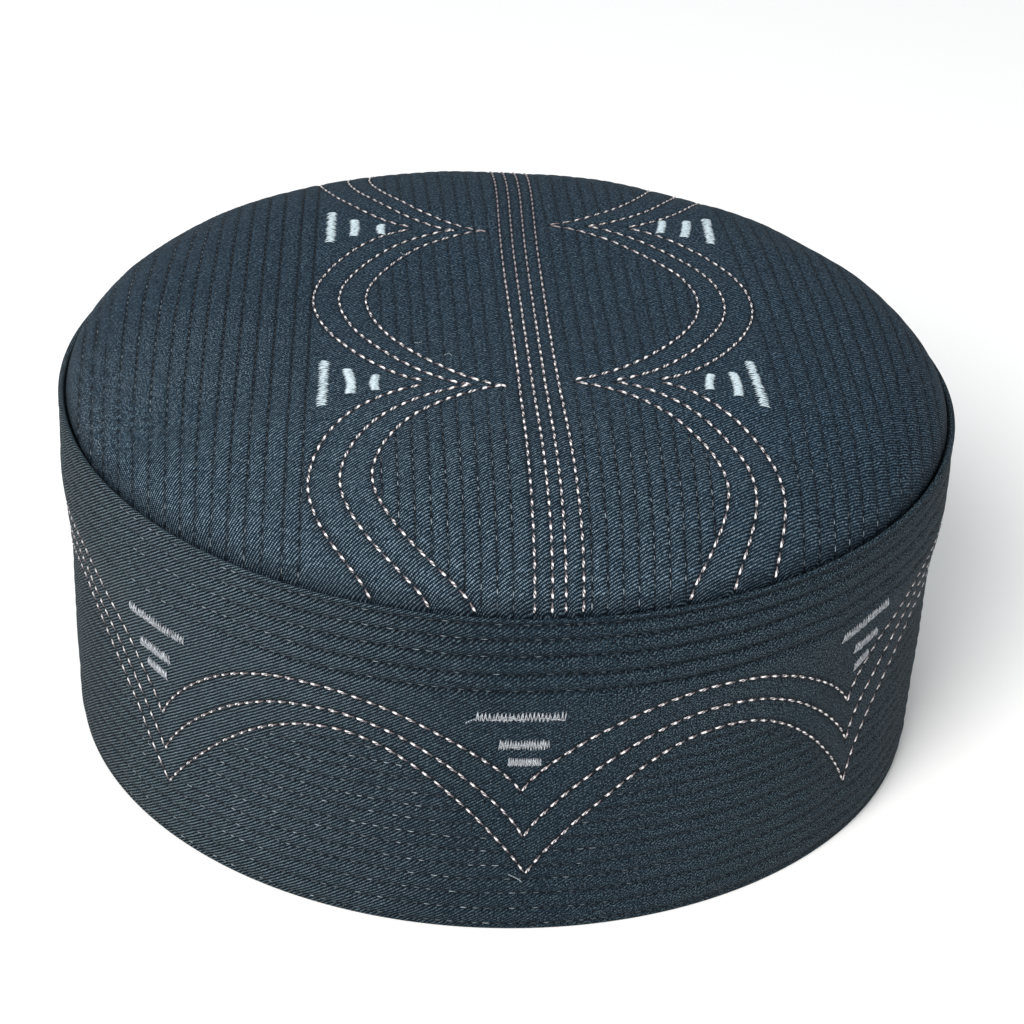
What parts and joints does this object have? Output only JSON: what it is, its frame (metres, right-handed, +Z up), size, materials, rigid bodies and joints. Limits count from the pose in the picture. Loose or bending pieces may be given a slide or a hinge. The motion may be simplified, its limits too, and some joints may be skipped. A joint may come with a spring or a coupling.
{
  "type": "kufi cap",
  "caption": "Round brimless cap: a quilted dome crown on an upright stitched band, hollow and open underneath, resting on its bottom edge.",
  "frame": {"origin": "middle of the bottom edge, on the surface that the cap rests on", "axes": "+Z up through the middle of the crown, -Y to the front of the cap, where the crown's straight lines meet the band's front V"},
  "size_m": [0.1974, 0.1977, 0.0995],
  "materials": {
    "crown_twill": "dark slate blue-green cotton-blend twill, quilted in straight rows, low sheen",
    "band_twill": "dark slate blue-green cotton-blend twill, stitched in level rows, low sheen",
    "pattern_thread": "twisted two-ply decorative thread, pinkish white with mauve-brown shade",
    "quilting_thread": "dark slate sewing thread with a slight shine",
    "bar_thread": "pale blue-white satin-stitched embroidery thread"
  },
  "bodies": {
    "root": {"crown": "crown_twill", "side_band": "band_twill"}
  },
  "joints": []
}
